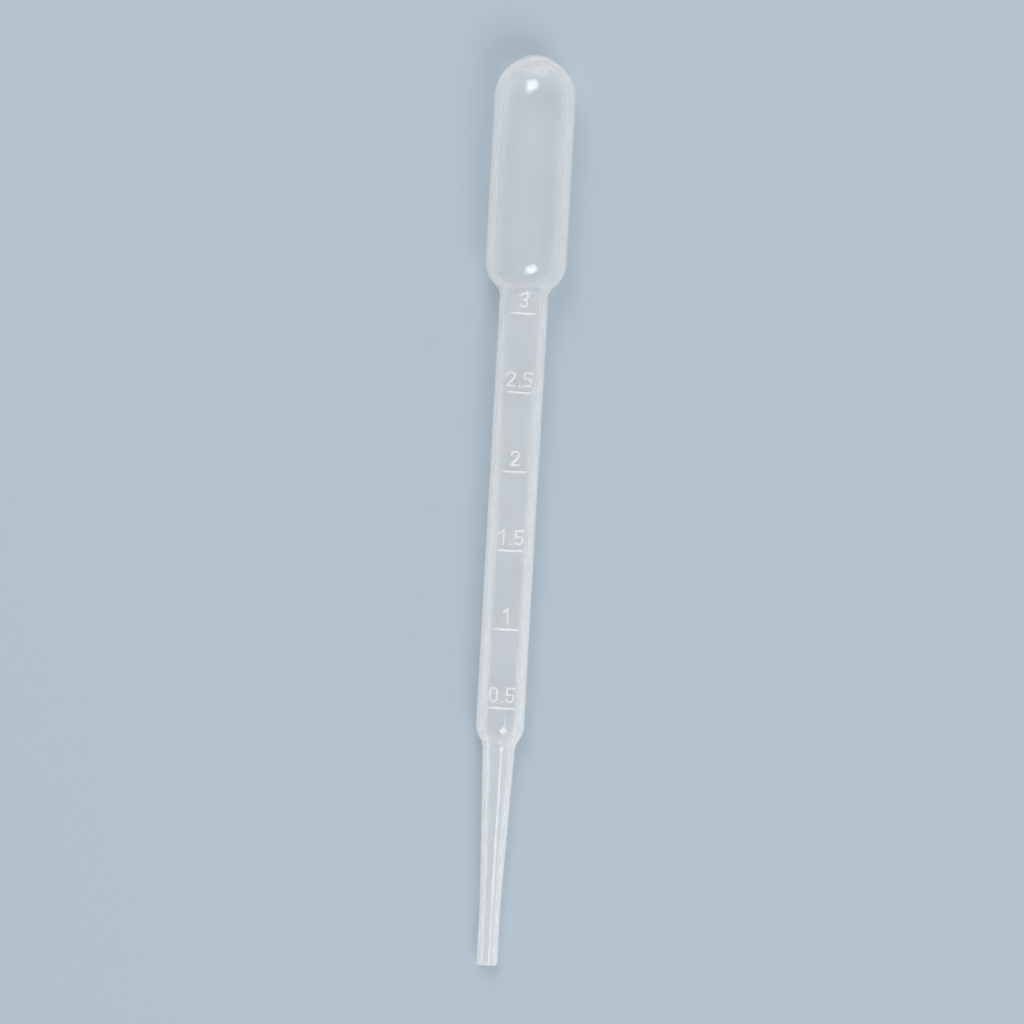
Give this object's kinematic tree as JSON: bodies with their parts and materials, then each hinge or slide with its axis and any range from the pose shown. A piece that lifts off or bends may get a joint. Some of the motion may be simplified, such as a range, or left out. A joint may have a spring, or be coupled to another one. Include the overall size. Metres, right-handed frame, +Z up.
{
  "type": "dropper pipette",
  "caption": "One-piece translucent squeeze pipette with a domed bulb, a stem with raised volume marks and numerals, and a long tapered tip with a bore.",
  "frame": {"origin": "on the ground under the middle of the lying pipette's bounding box", "axes": "+Y along the pipette towards its bulb, +X across it, +Z up through the face that carries the graduations"},
  "size_m": [0.014, 0.155, 0.0148],
  "materials": {
    "soft_plastic": "milky translucent polyethylene with a soft sheen"
  },
  "bodies": {
    "root": {"pipette": "soft_plastic"}
  },
  "joints": []
}
